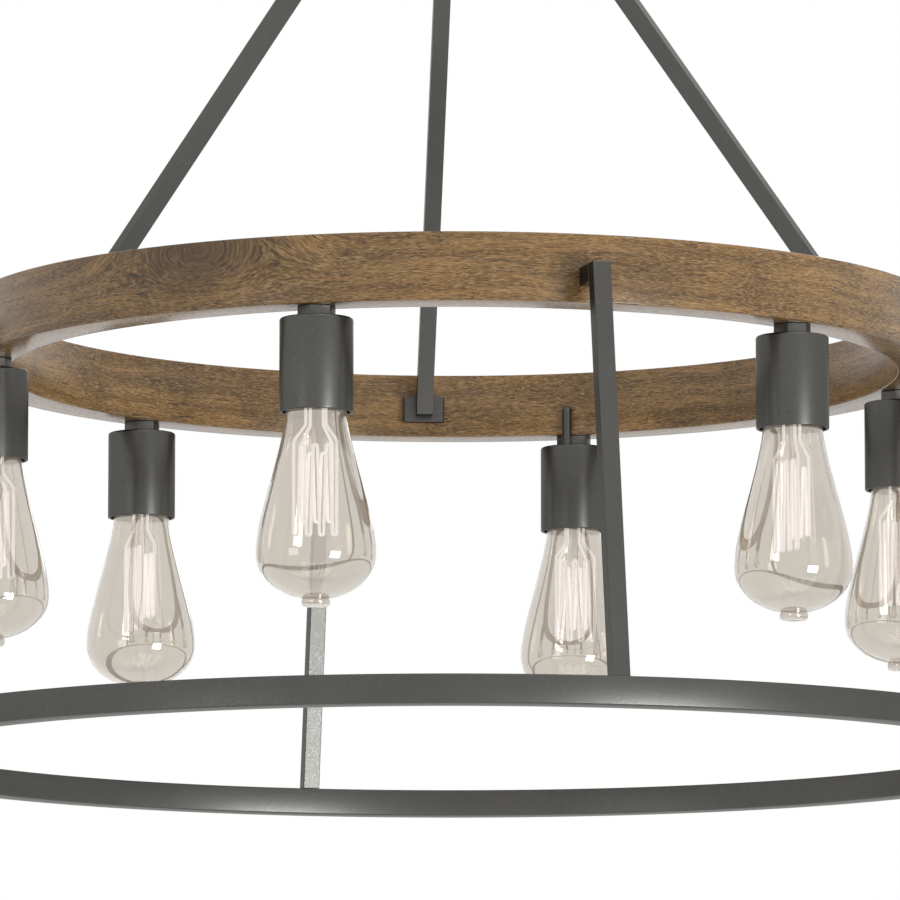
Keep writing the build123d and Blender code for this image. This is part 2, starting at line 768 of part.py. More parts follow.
# Lampholder cups
for lamp, angle in enumerate(lamp_angles, start=1):
    with BuildPart() as cup:
        with BuildSketch(Plane.XY.offset(cup_mouth)):
            with Locations(spot(angle, wood_middle_radius, 0)):
                Circle(cup_diameter / 2)
        extrude(amount=cup_height)
        fillet(cup.edges().group_by(Axis.Z)[-1], radius=cup_top_round)
        with BuildSketch(Plane.XY.offset(cup_mouth)):
            with Locations(spot(angle, wood_middle_radius, 0)):
                Circle(cup_inner_radius)
        extrude(amount=cup_height - cup_top_wall, mode=Mode.SUBTRACT)
        fillet(cup.edges().group_by(Axis.Z)[0], radius=cup_lip_round)
        with BuildSketch(Plane.XY.offset(cup_top)):
            with Locations(spot(angle, wood_middle_radius, 0)):
                Circle(nipple_diameter / 2 + thread_clearance)
        extrude(amount=-cup_top_wall, mode=Mode.SUBTRACT)
        if lamp == earth_pin_lamp:
            with BuildSketch(Plane.XY.offset(cup_top)):
                with Locations(spot(angle, earth_pin_radius, 0)):
                    Circle(earth_pin_diameter / 2 + thread_clearance)
            extrude(amount=-earth_pin_seat, mode=Mode.SUBTRACT)
    keep(cup, f"lampholder_cup_{lamp}")

# Bulb contacts: an insulator with a contact button, which rises and sinks with the bulb
for lamp, angle in enumerate(lamp_angles, start=1):
    with BuildPart() as bulb_contact:
        with BuildSketch(lamp_plane(angle, cup_mouth)):
            with BuildLine():
                Polyline(
                    (0, cap_top_height - cap_top_thickness),
                    (cap_opening_radius - running_clearance, cap_top_height - cap_top_thickness),
                    (cap_opening_radius - running_clearance, cap_top_height + axial_clearance),
                    (cap_root_radius, cap_top_height + axial_clearance),
                    (contact_radius, contact_top - contact_height),
                    (contact_radius, contact_top),
                    (0, contact_top),
                    close=True,
                )
            make_face()
        revolve(axis=lamp_axis(angle))
    keep(bulb_contact, f"bulb_contact_{lamp}")

# Bulb caps: brass, with rounded thread crests
for lamp, angle in enumerate(lamp_angles, start=1):
    with BuildPart() as bulb_cap:
        with BuildSketch(lamp_plane(angle, cup_mouth)):
            with BuildLine():
                for turn in range(cap_thread_turns):
                    start = cap_foot_height + turn * cap_thread_pitch
                    ThreePointArc(
                        (cap_root_radius, start),
                        (cap_radius, start + cap_thread_pitch / 2),
                        (cap_root_radius, start + cap_thread_pitch),
                    )
                Polyline(
                    (cap_root_radius, cap_top_height - cap_top_length),
                    (cap_root_radius, cap_top_height),
                    (cap_opening_radius, cap_top_height),
                    (cap_opening_radius, cap_top_height - cap_top_thickness),
                    (cap_lining_radius, cap_top_height - cap_top_thickness),
                    (cap_lining_radius, cap_foot_height),
                    (cap_root_radius, cap_foot_height),
                )
            make_face()
        revolve(axis=lamp_axis(angle))
    keep(bulb_cap, f"bulb_cap_{lamp}")


def glass_side(inset):
    """Lines of the bulb's glass from its neck to its belly, inset from the outer skin."""
    neck = glass_neck_radius - inset
    Line((neck, glass_top), (neck, cap_foot_height))
    Spline((neck, cap_foot_height), (glass_mouth_radius - inset, 0), tangents=[(0, -1), (0, -1)])
    Spline(
        (glass_mouth_radius - inset, 0),
        (glass_throat_radius - inset, -glass_throat_depth),
        (glass_flank_radius - inset, -glass_flank_depth),
        (glass_belly_radius - inset, -glass_belly_depth),
        tangents=[(0, -1), (0, -1)],
    )


# Bulb glass: the envelope with its tip, and the mount that carries the filament
for lamp, angle in enumerate(lamp_angles, start=1):
    with BuildPart() as bulb_glass:
        with BuildSketch(lamp_plane(angle, cup_mouth)):
            with BuildLine():
                glass_side(0)
                EllipticalCenterArc(
                    (0, -glass_belly_depth), glass_belly_radius, glass_dome_height, 270, arc_size=90
                )
                Line((0, -glass_foot_depth), (0, glass_wall - glass_foot_depth))
                EllipticalCenterArc(
                    (0, -glass_belly_depth),
                    glass_belly_radius - glass_wall,
                    glass_dome_height - glass_wall,
                    270,
                    arc_size=90,
                )
                glass_side(glass_wall)
                Line((glass_neck_radius - glass_wall, glass_top), (glass_neck_radius, glass_top))
            make_face()
        revolve(axis=lamp_axis(angle))
        with BuildSketch(lamp_plane(angle, cup_mouth)):
            with BuildLine():
                Polyline(
                    (glass_tip_radius - glass_tip_round, -glass_tip_depth),
                    (0, -glass_tip_depth),
                    (0, -glass_tip_root),
                    (glass_tip_waist_radius, -glass_tip_root),
                )
                ThreePointArc(
                    (glass_tip_waist_radius, -glass_tip_root),
                    (glass_tip_radius, glass_tip_round - glass_tip_depth),
                    (glass_tip_radius - glass_tip_round, -glass_tip_depth),
                )
            make_face()
        revolve(axis=lamp_axis(angle))
        with BuildSketch(lamp_plane(angle, cup_mouth)):
            with BuildLine():
                Polyline(
                    (0, -mount_rod_depth),
                    (mount_rod_radius, -mount_rod_depth),
                    (mount_rod_radius, mount_height),
                    (mount_radius, mount_height),
                    (mount_radius, mount_height + mount_length),
                    (glass_neck_radius - glass_wall - mount_neck_gap, glass_top),
                    (0, glass_top),
                    close=True,
                )
            make_face()
        revolve(axis=lamp_axis(angle))
    keep(bulb_glass, f"bulb_glass_{lamp}")


def filament_wire_path(side, hooks, top_depth, foot_depth, lead_spread):
    """Path of one filament wire: down a lead, over a row of hooks beside the axis, and up a lead."""
    row = side * filament_row_gap / 2
    lead = side * filament_lead_gap / 2
    leg = filament_hook_width / 2
    end = filament_pitch * (hooks - 1) / 2
    route = [
        Vector(-lead_spread, lead, mount_height),
        Vector(-lead_spread, lead, mount_height - filament_lead_drop),
        Vector(-end - leg, row, -filament_shoulder_depth),
    ]
    for place in range(2 * hooks - 1):
        middle = filament_pitch / 2 * place - end
        depth = foot_depth if place % 2 == 0 else top_depth
        route += [Vector(middle - leg, row, -depth), Vector(middle + leg, row, -depth)]
    route += [
        Vector(end + leg, row, -filament_shoulder_depth),
        Vector(lead_spread, lead, mount_height - filament_lead_drop),
        Vector(lead_spread, lead, mount_height),
    ]
    shoulders = [filament_shoulder_bend] * 2
    return FilletPolyline(*route, radius=shoulders + [filament_hook_bend] * (len(route) - 6) + shoulders)


# Filament cage: a long wire in front and a short one behind, each on two leads and bent over its hooks
with BuildPart() as filament_cage:
    for side, hooks, top_depth, foot_depth, lead_spread in [
        (
            -1,
            filament_front_hooks,
            filament_front_top_depth,
            filament_front_foot_depth,
            filament_front_lead_spread,
        ),
        (
            1,
            filament_back_hooks,
            filament_back_top_depth,
            filament_back_foot_depth,
            filament_back_lead_spread,
        ),
    ]:
        with BuildLine():
            wire = filament_wire_path(side, hooks, top_depth, foot_depth, lead_spread)
        with BuildSketch(Plane(origin=wire @ 0, z_dir=wire % 0)):
            Circle(filament_wire / 2)
        sweep()

# One cage in each bulb, each turned its own way
for lamp, (angle, turn) in enumerate(zip(lamp_angles, filament_turns), start=1):
    with BuildPart() as bulb_filament:
        with Locations(Location(spot(angle, wood_middle_radius, cup_mouth), (0, 0, turn))):
            add(filament_cage.part)
    keep(bulb_filament, f"bulb_filament_{lamp}")
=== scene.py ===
"""Looks of an industrial chandelier.

A walnut ring hangs on three rods, with bare squirrel-cage bulbs under it and a slate-grey steel hoop below.
"""

import json
from math import atan2, cos, hypot, radians, sin, tau

import bmesh
import bpy
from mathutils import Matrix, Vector
from mathutils.geometry import interpolate_bezier


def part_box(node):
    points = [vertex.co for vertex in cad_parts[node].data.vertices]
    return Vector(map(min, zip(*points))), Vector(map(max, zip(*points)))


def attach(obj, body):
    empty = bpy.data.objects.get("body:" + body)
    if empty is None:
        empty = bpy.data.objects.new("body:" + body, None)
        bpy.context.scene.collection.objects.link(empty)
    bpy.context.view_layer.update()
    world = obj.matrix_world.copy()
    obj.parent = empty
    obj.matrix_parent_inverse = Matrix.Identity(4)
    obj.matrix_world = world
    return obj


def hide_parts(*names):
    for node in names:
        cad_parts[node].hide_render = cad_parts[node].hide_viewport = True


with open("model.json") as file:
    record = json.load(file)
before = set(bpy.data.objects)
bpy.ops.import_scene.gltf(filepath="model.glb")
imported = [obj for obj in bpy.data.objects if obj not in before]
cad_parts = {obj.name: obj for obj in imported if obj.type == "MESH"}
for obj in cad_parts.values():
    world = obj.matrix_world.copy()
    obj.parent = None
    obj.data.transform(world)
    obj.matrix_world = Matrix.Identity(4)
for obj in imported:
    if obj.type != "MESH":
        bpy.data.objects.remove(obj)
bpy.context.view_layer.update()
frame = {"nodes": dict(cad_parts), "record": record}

# Sizes in metres and angles in radians. Places come from the frame, and what a box can't tell is named here.
# Angles round the ring count from the front towards the right.
MM = 0.001
LAMPS = range(1, 7)
WOOD_THICKNESS = 26 * MM
WOOD_BEVEL = 1.0 * MM
COVER_WIDTH = 10.2 * MM
COVER_GAP = 0.1 * MM
COVER_THICKNESS = 1.2 * MM
COVER_ROUND = 0.25 * MM
HOOP_WIDTH = 18 * MM
HOOP_BEVEL = 0.9 * MM
CUP_WALL = 1.7 * MM
CUP_TOP_WALL = 3 * MM
CUP_TOP_ROUND = 1.4 * MM
CUP_LIP_ROUND = 0.7 * MM
NIPPLE_RADIUS = 4.85 * MM
MOUNT_TIP_ROUND = 0.8 * MM
MOUNT_FLARE_ROUND = 1.5 * MM
RING_STEPS = 288
LAMP_STEPS = 72
OUTLINE_STEPS = 12
ROUND_SEGMENTS = 4
EDGE_EASE = 0.45 * MM
EASE_SEGMENTS = 2
SHARP_ANGLE = radians(50)
FLAT_ANGLE = radians(0.5)
CREASE_ANGLE = radians(35)
EASED_CREASE_ANGLE = radians(20)
JOINT_ANGLE = radians(-176.25)
EYE_ANGLE = radians(-29.6)
EYE_HEIGHT = 13 * MM
EYE_LENGTH = 37 * MM
EYE_DEPTH = 21 * MM
TOUCH = 0.01 * MM
MERGE = 0.001 * MM
WORLD_LEVEL = 0.6
FLOOR_HEIGHT = -8.0
FLOOR_RADIUS = 120.0
FLOOR_SIDES = 96
FLOOR_GLOW = 0.88
CAMERA_DISTANCE = 4.45
CAMERA_DROP = radians(8.60)
CAMERA_TILT = radians(97.79)
CAMERA_TURN = radians(0.0207)
CAMERA_REACH = 300.0
LENS_MM = 301.76
SENSOR_MM = 36.0

wood_low, wood_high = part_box("wood_ring")
hoop_low, hoop_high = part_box("lower_ring")
wood_outer = wood_high.x
wood_inner = wood_outer - WOOD_THICKNESS
wood_middle = wood_outer - WOOD_THICKNESS / 2
wood_centre = (wood_low.z + wood_high.z) / 2
lamp_mouths = {}
for lamp in LAMPS:
    low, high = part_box(f"lampholder_cup_{lamp}")
    lamp_mouths[lamp] = Vector(((low.x + high.x) / 2, (low.y + high.y) / 2, low.z))


def linear(colour):
    """An sRGB hex colour as linear RGBA."""
    shares = [int(colour[place:place + 2], 16) / 255 for place in (0, 2, 4)]
    return [s / 12.92 if s <= 0.04045 else ((s + 0.055) / 1.055) ** 2.4 for s in shares] + [1.0]


def fill(tree, filled, inputs):
    """Give a node's inputs values or other nodes' outputs.

    Inputs go by name, or by number where names repeat.
    """
    for name, value in inputs.items():
        if isinstance(value, bpy.types.NodeSocket):
            tree.links.new(value, filled.inputs[name])
        else:
            filled.inputs[name].default_value = value


def node(tree, kind, settings, inputs):
    """Add a node with its settings and inputs."""
    added = tree.nodes.new(kind)
    for name, value in settings.items():
        setattr(added, name, value)
    fill(tree, added, inputs)
    return added


def object_place(tree):
    """Where a point lies in its piece's own frame."""
    return node(tree, "ShaderNodeTexCoord", {}, {}).outputs["Object"]


def noise(tree, vector, size, detail=2.0, output="Fac"):
    """Noise from 0 to 1, with lumps of one size."""
    return node(tree, "ShaderNodeTexNoise", {}, {
        "Vector": vector, "Scale": 1 / size, "Detail": detail}).outputs[output]


def spread(tree, value, source, target, bend="LINEAR"):
    """Carry a value from one range over to another."""
    return node(tree, "ShaderNodeMapRange", {"interpolation_type": bend}, {
        "Value": value, "From Min": source[0], "From Max": source[1],
        "To Min": target[0], "To Max": target[1]}).outputs["Result"]


def blend(tree, share, first, second):
    """A colour between two, by the share of the second."""
    return node(tree, "ShaderNodeMix", {"data_type": "RGBA"}, {
        0: share, 6: first, 7: second}).outputs[2]


def number_math(tree, operation, *values):
    """A number worked out from numbers."""
    return node(
        tree, "ShaderNodeMath", {"operation": operation}, dict(enumerate(values))).outputs["Value"]


def vector_math(tree, operation, *values):
    """A vector worked out from vectors."""
    return node(
        tree, "ShaderNodeVectorMath", {"operation": operation}, dict(enumerate(values))).outputs["Vector"]


def relief(tree, height, strength, distance):
    """Normals of a surface with fine bumps."""
    return node(tree, "ShaderNodeBump", {}, {
        "Strength": strength, "Distance": distance, "Height": height}).outputs["Normal"]


def new_material(name):
    """A material with its node tree and its shader."""
    made = bpy.data.materials.new(name)
    made.use_nodes = True
    return made, made.node_tree, made.node_tree.nodes["Principled BSDF"]


# Metallic powder coat on steel: dark slate grey and full of flake.
# The eye sees a satin that mirrors softly and sparkles.
slate_coat, tree, shader = new_material("slate_powder_coat")
place = object_place(tree)
# The grit is about 0.2 mm, and is drawn at 0.9 mm so that it shows.
grit = noise(tree, place, 0.9 * MM, 3.0)
cloud = noise(tree, place, 45 * MM)
fleck = spread(tree, grit, (0.6, 0.78), (0.0, 0.3))
body_tone = blend(tree, cloud, linear("525250"), linear("5c5b58"))
fill(tree, shader, {
    "Base Color": blend(tree, fleck, body_tone, linear("9a9893")),
    "Metallic": 1.0,
    "Specular Tint": linear("cccbc8"),
    "Roughness": spread(tree, grit, (0.3, 0.7), (0.38, 0.28)),
    "Normal": relief(tree, grit, 0.04, 0.15 * MM),
})

# Walnut, bent round the ring and oiled.
# The eye sees brown with long streaks, fine fibres, short dark pores and one eye of grain.
walnut, tree, shader = new_material("oiled_walnut")
grain = node(tree, "ShaderNodeAttribute", {"attribute_name": "grain"}, {}).outputs["Vector"]
sway = vector_math(tree, "SUBTRACT", noise(tree, grain, 55 * MM, output="Color"), (0.5, 0.5, 0.5))
wavy = vector_math(tree, "MULTIPLY_ADD", sway, (0.0, 10 * MM, 10 * MM), grain)
# The eye: grain lies in shells round a point on the outer face, wide along the ring and flat across it.
# Away from that point it settles into the level run of the rest.
eye_height = wood_centre + EYE_HEIGHT
from_eye = vector_math(tree, "SUBTRACT", wavy, (EYE_ANGLE * wood_middle, wood_outer, eye_height))
shells = vector_math(tree, "MULTIPLY", from_eye, (1 / EYE_LENGTH, 1 / EYE_DEPTH, 1 / EYE_DEPTH))
depth = node(tree, "ShaderNodeVectorMath", {"operation": "LENGTH"}, {0: shells}).outputs["Value"]
near_eye = spread(tree, depth, (0.6, 2.8), (1.0, 0.0), "SMOOTHSTEP")
settled = number_math(tree, "TANH", depth)
shell_height = number_math(tree, "MULTIPLY_ADD", settled, -EYE_DEPTH, eye_height)
parts = node(tree, "ShaderNodeSeparateXYZ", {}, {"Vector": wavy}).outputs
across = node(tree, "ShaderNodeMix", {}, {0: near_eye, 2: parts["Z"], 3: shell_height}).outputs[0]
flow = node(tree, "ShaderNodeCombineXYZ", {}, {
    "X": parts["X"], "Y": parts["Y"], "Z": across}).outputs["Vector"]
# Each layer of grain is a length along the ring and a width across it.
# Fibres under 0.1 mm are drawn 0.36 mm wide so that they show.
layers = {}
for layer, length, width, detail in [
        ("streak", 130 * MM, 6 * MM, 3.0),
        ("line", 55 * MM, 0.6 * MM, 2.0),
        ("fibre", 4.0 * MM, 0.36 * MM, 1.0),
        ("pore", 5 * MM, 0.5 * MM, 0.0)]:
    stretched = vector_math(tree, "MULTIPLY", flow, (1 / length, 1 / width, 1 / width))
    layers[layer] = node(tree, "ShaderNodeTexNoise", {}, {
        "Vector": stretched, "Scale": 1.0, "Detail": detail, "Roughness": 0.6}).outputs["Fac"]
layers["cluster"] = noise(tree, grain, 42 * MM, 1.5)
layers["eye"] = depth
wood_tone = linear("9d7746")
for layer, least, most, share, tone in [
        ("streak", 0.36, 0.64, 0.9, "664820"),
        ("cluster", 0.45, 0.72, 0.5, "543a1d"),
        ("line", 0.52, 0.67, 1.0, "3a2510"),
        ("fibre", 0.5, 0.75, 0.75, "b3986e"),
        ("fibre", 0.5, 0.25, 0.75, "432d16"),
        ("eye", 1.9, 0.2, 0.68, "3a2714")]:
    amount = spread(tree, layers[layer], (least, most), (0.0, share))
    wood_tone = blend(tree, amount, wood_tone, linear(tone))
# Pores crowd where the clusters are.
pore = spread(tree, layers["pore"], (0.66, 0.76), (0.0, 1.0))
crowd = spread(tree, layers["cluster"], (0.4, 0.62), (0.1, 0.75))
pore = number_math(tree, "MULTIPLY", pore, crowd)
fill(tree, shader, {
    "Base Color": blend(tree, pore, wood_tone, linear("2f1f10")),
    "Roughness": spread(tree, layers["fibre"], (0.3, 0.7), (0.3, 0.18)),
    "Normal": relief(tree, layers["fibre"], 0.2, 0.2 * MM),
})

# Blown soda-lime glass with a faint silvery film: clear, with a warm grey veil and mirrored streaks. The veil
# is partly a painted glow, a faint emission given to the glass itself.
# Its tint gathers to a brown line where the wall is seen edge on.
clear_glass, tree, shader = new_material("clear_bulb_glass")
fill(tree, shader, {
    "Base Color": linear("e0ddd7"),
    "Metallic": 0.22,
    "Roughness": 0.0,
    "IOR": 1.45,
    "Transmission Weight": 1.0,
    # Painted glow: the glass itself gives off a faint warm light, which brightens its veil.
    "Emission Color": linear("d8d2ca"),
    "Emission Strength": 0.043,
})
soak = node(tree, "ShaderNodeVolumeAbsorption", {}, {
    "Color": linear("c0905c"), "Density": 55.0}).outputs["Volume"]
fill(tree, tree.nodes["Material Output"], {"Volume": soak})

# Carbon filament, lit: a pale cream wire that glows a little less than the white around it.
filament, tree, shader = new_material("lit_filament")
wander = noise(tree, object_place(tree), 6 * MM)
glow = blend(tree, wander, linear("f4f1f3"), linear("ebe7e8"))
fill(tree, shader, {"Base Color": glow, "Roughness": 0.5, "Emission Color": glow, "Emission Strength": 0.85})

# Drawn brass: yellow metal with fine lines round each piece.
brass, tree, shader = new_material("drawn_brass")
drawn = vector_math(tree, "MULTIPLY", object_place(tree), (1 / (20 * MM), 1 / (20 * MM), 1 / (0.5 * MM)))
tarnish = blend(tree, noise(tree, drawn, 1.0, 3.0), linear("c9a25c"), linear("a67c3f"))
fill(tree, shader, {"Base Color": tarnish, "Metallic": 1.0, "Roughness": 0.3})

# Bearing bronze: redder than brass and a little duller.
bronze, tree, shader = new_material("bearing_bronze")
cast = noise(tree, object_place(tree), 3 * MM, 4.0)
oiled = blend(tree, cast, linear("a4713f"), linear("855a31"))
fill(tree, shader, {"Base Color": oiled, "Metallic": 1.0, "Roughness": 0.38})

# Zinc plate on steel: pale blue-grey metal with a soft cloud of crystals.
zinc, tree, shader = new_material("zinc_plate")
crystal = node(tree, "ShaderNodeTexVoronoi", {}, {
    "Vector": object_place(tree), "Scale": 1 / (4 * MM)}).outputs["Color"]
plated = blend(tree, crystal, linear("a7aaad"), linear("bfc1c2"))
fill(tree, shader, {"Base Color": plated, "Metallic": 1.0, "Roughness": 0.36})

# Glazed porcelain: warm white under a clear glaze, with a few faint specks.
porcelain, tree, shader = new_material("glazed_porcelain")
speck = spread(tree, noise(tree, object_place(tree), 2 * MM, 4.0), (0.62, 0.8), (0.0, 0.6))
glazed = blend(tree, speck, linear("e9e5db"), linear("c9bfae"))
fill(tree, shader, {"Base Color": glazed, "Roughness": 0.18, "IOR": 1.5})

# Black insulating glass with a soldered button on a bulb's cap.
black_glass, tree, shader = new_material("black_insulator_glass")
smoke = noise(tree, object_place(tree), 4 * MM)
smoked = blend(tree, smoke, linear("131316"), linear("26262b"))
fill(tree, shader, {"Base Color": smoked, "Roughness": 0.15, "IOR": 1.52})

# PVC jacket: black and slightly waxy, with a faint mottle.
pvc, tree, shader = new_material("pvc_jacket")
mottle = noise(tree, object_place(tree), 1.5 * MM)
waxed = blend(tree, mottle, linear("1a1a1a"), linear("2a2a29"))
fill(tree, shader, {"Base Color": waxed, "Roughness": 0.5})

FINISHES = {
    "dark_metal": slate_coat,
    "zinc_steel": zinc,
    "bronze": bronze,
    "walnut": walnut,
    "lead_jacket": pvc,
    "porcelain": porcelain,
    "brass": brass,
    "bulb_insulator": black_glass,
    "clear_glass": clear_glass,
    "filament": filament,
}
node_slots = {row["node"]: row["material_slot"] for row in frame["record"]["subparts"]}
node_bodies = {name: body for body, names in frame["record"]["behaviour"]["bodies"].items() for name in names}
for name, part in frame["nodes"].items():
    for material_slot in part.material_slots:
        material_slot.material = FINISHES[node_slots[name]]


def turn(shape, outline, centre, steps, closed=True, rounds=()):
    """Spin an outline of (radius, height) points round an upright axis, and round the corners named."""
    before = set(shape.verts)
    corners = [shape.verts.new((radius, 0.0, height)) for radius, height in outline]
    pairs = list(zip(corners, corners[1:])) + ([(corners[-1], corners[0])] if closed else [])
    sides = [shape.edges.new(pair) for pair in pairs]
    bmesh.ops.spin(
        shape, geom=corners + sides, cent=(0, 0, 0), axis=(0, 0, 1), angle=tau, steps=steps, use_merge=True)
    bmesh.ops.remove_doubles(shape, verts=[v for v in shape.verts if v not in before], dist=MERGE)
    bmesh.ops.recalc_face_normals(
        shape, faces=[face for face in shape.faces if before.isdisjoint(face.verts)])
    for corner, width in rounds:
        radius, height = outline[corner]
        rim = [
            edge for edge in shape.edges
            if before.isdisjoint(edge.verts)
            and all(abs(hypot(v.co.x, v.co.y) - radius) + abs(v.co.z - height) < TOUCH for v in edge.verts)
        ]
        bmesh.ops.bevel(
            shape, geom=rim, offset=width, offset_type="OFFSET", segments=ROUND_SEGMENTS, profile=0.5,
            affect="EDGES", material=-1, clamp_overlap=True)
    bmesh.ops.translate(shape, verts=[v for v in shape.verts if v not in before], vec=centre)


def dress(shape, name, *nodes, crease=CREASE_ANGLE):
    """Make a piece from a shape. It stands for CAD nodes of one body, and takes their finish."""
    mesh = bpy.data.meshes.new(name)
    shape.to_mesh(mesh)
    shape.free()
    mesh.shade_smooth()
    mesh.set_sharp_from_angle(angle=crease)
    piece = bpy.data.objects.new(name, mesh)
    bpy.context.scene.collection.objects.link(piece)
    mesh.materials.append(FINISHES[node_slots[nodes[0]]])
    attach(piece, node_bodies[nodes[0]])
    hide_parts(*nodes)
    return piece


# Walnut ring with the rebate for its cover strip
shape = bmesh.new()
rebate = wood_high.z - COVER_THICKNESS
turn(shape, [
    (wood_outer, wood_low.z),
    (wood_outer, wood_high.z),
    (wood_middle + COVER_WIDTH / 2, wood_high.z),
    (wood_middle + COVER_WIDTH / 2, rebate),
    (wood_middle - COVER_WIDTH / 2, rebate),
    (wood_middle - COVER_WIDTH / 2, wood_high.z),
    (wood_inner, wood_high.z),
    (wood_inner, wood_low.z),
], (0, 0, 0), RING_STEPS, rounds=[(corner, WOOD_BEVEL) for corner in (0, 1, 6, 7)])
ring = dress(shape, "walnut_ring", "wood_ring")
# The grain runs round the ring, from a joint behind the back rod and back to it.
grain_map = ring.data.attributes.new("grain", "FLOAT_VECTOR", "CORNER")
for face in ring.data.polygons:
    middle = JOINT_ANGLE + (atan2(face.center.x, -face.center.y) - JOINT_ANGLE) % tau
    for corner in face.loop_indices:
        point = ring.data.vertices[ring.data.loops[corner].vertex_index].co
        angle = atan2(point.x, -point.y)
        angle += tau * round((middle - angle) / tau)
        grain_map.data[corner].vector = (angle * wood_middle, hypot(point.x, point.y), point.z)

# Cover strip of the wire groove
shape = bmesh.new()
cover_half = COVER_WIDTH / 2 - COVER_GAP
turn(shape, [
    (wood_middle + cover_half, rebate),
    (wood_middle + cover_half, wood_high.z),
    (wood_middle - cover_half, wood_high.z),
    (wood_middle - cover_half, rebate),
], (0, 0, 0), RING_STEPS, rounds=[(1, COVER_ROUND), (2, COVER_ROUND)])
dress(shape, "groove_cover", "wire_cover")

# Steel hoop
shape = bmesh.new()
turn(shape, [
    (hoop_high.x, hoop_low.z),
    (hoop_high.x, hoop_high.z),
    (hoop_high.x - HOOP_WIDTH, hoop_high.z),
    (hoop_high.x - HOOP_WIDTH, hoop_low.z),
], (0, 0, 0), RING_STEPS, rounds=[(corner, HOOP_BEVEL) for corner in range(4)])
dress(shape, "steel_hoop", "lower_ring")

# Lampholder cups
for lamp in LAMPS:
    low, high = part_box(f"lampholder_cup_{lamp}")
    cup_radius = (high.x - low.x) / 2
    cup_height = high.z - low.z
    shape = bmesh.new()
    turn(shape, [
        (cup_radius, 0.0),
        (cup_radius, cup_height),
        (NIPPLE_RADIUS, cup_height),
        (NIPPLE_RADIUS, cup_height - CUP_TOP_WALL),
        (cup_radius - CUP_WALL, cup_height - CUP_TOP_WALL),
        (cup_radius - CUP_WALL, 0.0),
    ], lamp_mouths[lamp], LAMP_STEPS, rounds=[(0, CUP_LIP_ROUND), (5, CUP_LIP_ROUND), (1, CUP_TOP_ROUND)])
    dress(shape, f"lampholder_shell_{lamp}", f"lampholder_cup_{lamp}")


def glass_line(*knots):
    """Points of (radius, height) along smooth bends, each given as its ends and handles in millimetres."""
    points = []
    for start, start_handle, end_handle, end in knots:
        bend = interpolate_bezier(
            *[Vector((radius, -drop, 0.0)) * MM for radius, drop in (start, start_handle, end_handle, end)],
            OUTLINE_STEPS)
        points += [(point.x, point.y) for point in bend[1 if points else 0:]]
    return points


# Bulb glass: each pair is a radius and a drop below the lampholder's mouth, in millimetres
outer_line = [(11.4 * MM, 19.5 * MM)] + glass_line(
    ((11.4, -8.5), (11.4, -4.2), (17.0, -4.3), (17.0, 0.0)),
    ((17.0, 0.0), (17.0, 3.5), (17.71, 6.93), (18.4, 10.4)),
    ((18.4, 10.4), (21.4, 25.4), (26.15, 40.5), (29.75, 55.5)),
    ((29.75, 55.5), (31.62, 63.3), (33.25, 71.2), (33.25, 79.0)),
    ((33.25, 79.0), (33.25, 90.7), (22.55, 100.84), (7.45, 103.46)),
    ((7.45, 103.46), (8.0, 104.8), (8.4, 106.4), (7.3, 107.6)),
    ((7.3, 107.6), (6.4, 108.4), (3.0, 108.4), (0.0, 108.4)),
)
inner_line = [(10.6 * MM, 19.5 * MM)] + glass_line(
    ((10.6, -8.5), (10.6, -4.2), (16.2, -4.3), (16.2, 0.0)),
    ((16.2, 0.0), (16.2, 3.5), (16.91, 6.93), (17.6, 10.4)),
    ((17.6, 10.4), (20.6, 25.4), (25.35, 40.5), (28.95, 55.5)),
    ((28.95, 55.5), (30.82, 63.3), (32.45, 71.2), (32.45, 79.0)),
    ((32.45, 79.0), (32.45, 90.35), (22.0, 100.1), (6.4, 102.83)),
    ((6.4, 102.83), (7.0, 104.6), (7.3, 106.2), (6.3, 106.9)),
    ((6.3, 106.9), (5.4, 107.5), (3.0, 107.5), (0.0, 107.5)),
)
mount_line = [
    (radius * MM, -drop * MM)
    for radius, drop in ((0, 19), (2.2, 19), (2.2, -3), (7.2, -3), (7.2, -9), (10.5, -19.5), (0, -19.5))
]
for lamp in LAMPS:
    shape = bmesh.new()
    turn(shape, outer_line[::-1] + inner_line, lamp_mouths[lamp], LAMP_STEPS, closed=False)
    turn(
        shape, mount_line, lamp_mouths[lamp], LAMP_STEPS, closed=False,
        rounds=[(1, MOUNT_TIP_ROUND), (3, MOUNT_FLARE_ROUND)])
    dress(shape, f"bulb_envelope_{lamp}", f"bulb_glass_{lamp}")

# Rolled, cut and turned steel with its edges eased
EASED = [
    "rod_right", "rod_back", "rod_left", "rod_plates",
    "bar_front", "bar_right", "bar_back", "bar_left", "bar_stubs",
    "lampholder_nuts", "earth_pin",
    "hub", "hub_cover", "stem", "stem_coupling", "swivel_fork", "pivot_screws",
    "canopy", "canopy_screws", "mounting_bracket",
]
for name in EASED:
    shape = bmesh.new()
    shape.from_mesh(frame["nodes"][name].data)
    bmesh.ops.remove_doubles(shape, verts=shape.verts, dist=MERGE)
    bmesh.ops.dissolve_limit(shape, angle_limit=FLAT_ANGLE, verts=shape.verts, edges=shape.edges)
    sharp = [
        edge for edge in shape.edges
        if len(edge.link_faces) == 2 and edge.calc_face_angle_signed() > SHARP_ANGLE
    ]
    bmesh.ops.bevel(
        shape, geom=sharp, offset=EDGE_EASE, offset_type="OFFSET", segments=EASE_SEGMENTS, profile=0.5,
        affect="EDGES", material=-1, clamp_overlap=True)
    dress(shape, f"eased_{name}", name, crease=EASED_CREASE_ANGLE)

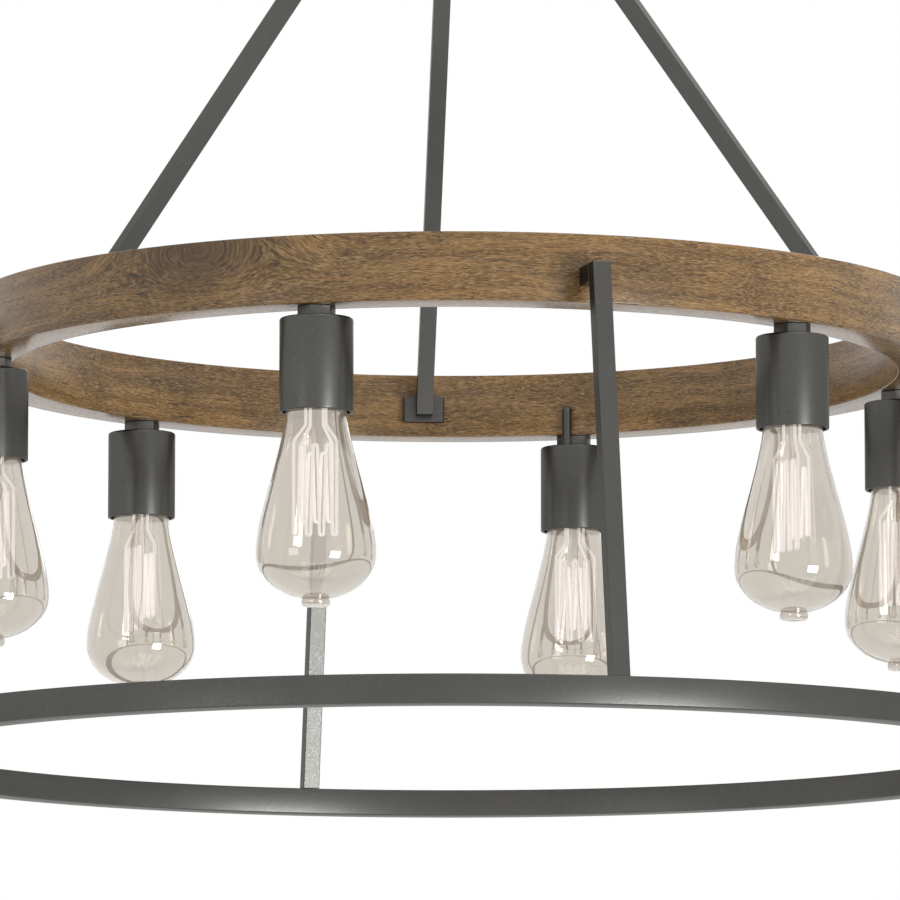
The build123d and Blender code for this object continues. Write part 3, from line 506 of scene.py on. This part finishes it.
# Studio: white all round for the eye and for gloss, a plain grey-white level for diffuse light, and softboxes
world = bpy.data.worlds.new("studio")
bpy.context.scene.world = world
world.use_nodes = True
tree = world.node_tree
tree.nodes.clear()
rays = node(tree, "ShaderNodeLightPath", {}, {}).outputs
seen = number_math(tree, "MAXIMUM", rays["Is Camera Ray"], rays["Is Glossy Ray"])
seen = number_math(tree, "MAXIMUM", seen, rays["Is Transmission Ray"])
level = spread(tree, seen, (0.0, 1.0), (WORLD_LEVEL, 1.0))
white = node(tree, "ShaderNodeBackground", {}, {
    "Color": (1, 1, 1, 1), "Strength": level}).outputs["Background"]
node(tree, "ShaderNodeOutputWorld", {}, {"Surface": white})

# Floor: a wide disc, far enough down for views from below.
# It is pale for the eye, white for gloss and glass, and plain matt paint for the light that it sends up.
floor_shape = bmesh.new()
bmesh.ops.create_circle(floor_shape, cap_ends=True, segments=FLOOR_SIDES, radius=FLOOR_RADIUS)
bmesh.ops.translate(floor_shape, verts=floor_shape.verts, vec=(0, 0, FLOOR_HEIGHT))
floor_mesh = bpy.data.meshes.new("floor")
floor_shape.to_mesh(floor_mesh)
floor_shape.free()
floor = bpy.data.objects.new("floor", floor_mesh)
bpy.context.scene.collection.objects.link(floor)
pale_floor, tree, shader = new_material("pale_floor")
fill(tree, shader, {"Base Color": linear("f2f1ef"), "Roughness": 0.9})
rays = node(tree, "ShaderNodeLightPath", {}, {}).outputs
mirrored = number_math(tree, "MAXIMUM", rays["Is Glossy Ray"], rays["Is Transmission Ray"])
paleness = number_math(tree, "MULTIPLY_ADD", rays["Is Camera Ray"], FLOOR_GLOW, mirrored)
plain = node(tree, "ShaderNodeEmission", {}, {"Color": (1, 1, 1, 1), "Strength": 1.0}).outputs["Emission"]
floor_mix = node(tree, "ShaderNodeMixShader", {}, {
    0: paleness, 1: shader.outputs["BSDF"], 2: plain}).outputs["Shader"]
fill(tree, tree.nodes["Material Output"], {"Surface": floor_mix})
floor_mesh.materials.append(pale_floor)

SOFTBOXES = [
    # name, stand, aim, size, watts
    ("key_softbox", (3.2, -4.25, -2.15), (0, 0, -0.7), 1.75, 150),
    ("front_left_softbox", (-2.8, -3.2, -1.2), (0, 0, -0.6), 1.4, 4),
    ("top_softbox", (0.8, -1.2, 2.2), (0, 0, -0.6), 1.6, 14),
    ("back_softbox", (0.6, 3.4, 0.8), (0, 0, -0.6), 1.6, 14),
]
for name, stand, aim, size, watts in SOFTBOXES:
    panel = bpy.data.lights.new(name, "AREA")
    panel.size = size
    panel.energy = watts
    softbox = bpy.data.objects.new(name, panel)
    bpy.context.scene.collection.objects.link(softbox)
    softbox.location = stand
    softbox.rotation_euler = (Vector(aim) - Vector(stand)).to_track_quat("-Z", "Y").to_euler()

# Camera: below the wood ring and far off, with a long lens
camera_data = bpy.data.cameras.new("camera")
camera_data.sensor_width = SENSOR_MM
camera_data.lens = LENS_MM
camera_data.clip_end = CAMERA_REACH
camera = bpy.data.objects.new("camera", camera_data)
bpy.context.scene.collection.objects.link(camera)
camera.location = (0, -CAMERA_DISTANCE * cos(CAMERA_DROP), wood_centre - CAMERA_DISTANCE * sin(CAMERA_DROP))
camera.rotation_euler = (CAMERA_TILT, 0, CAMERA_TURN)
bpy.context.scene.camera = camera
bpy.context.scene.view_settings.view_transform = "Standard"
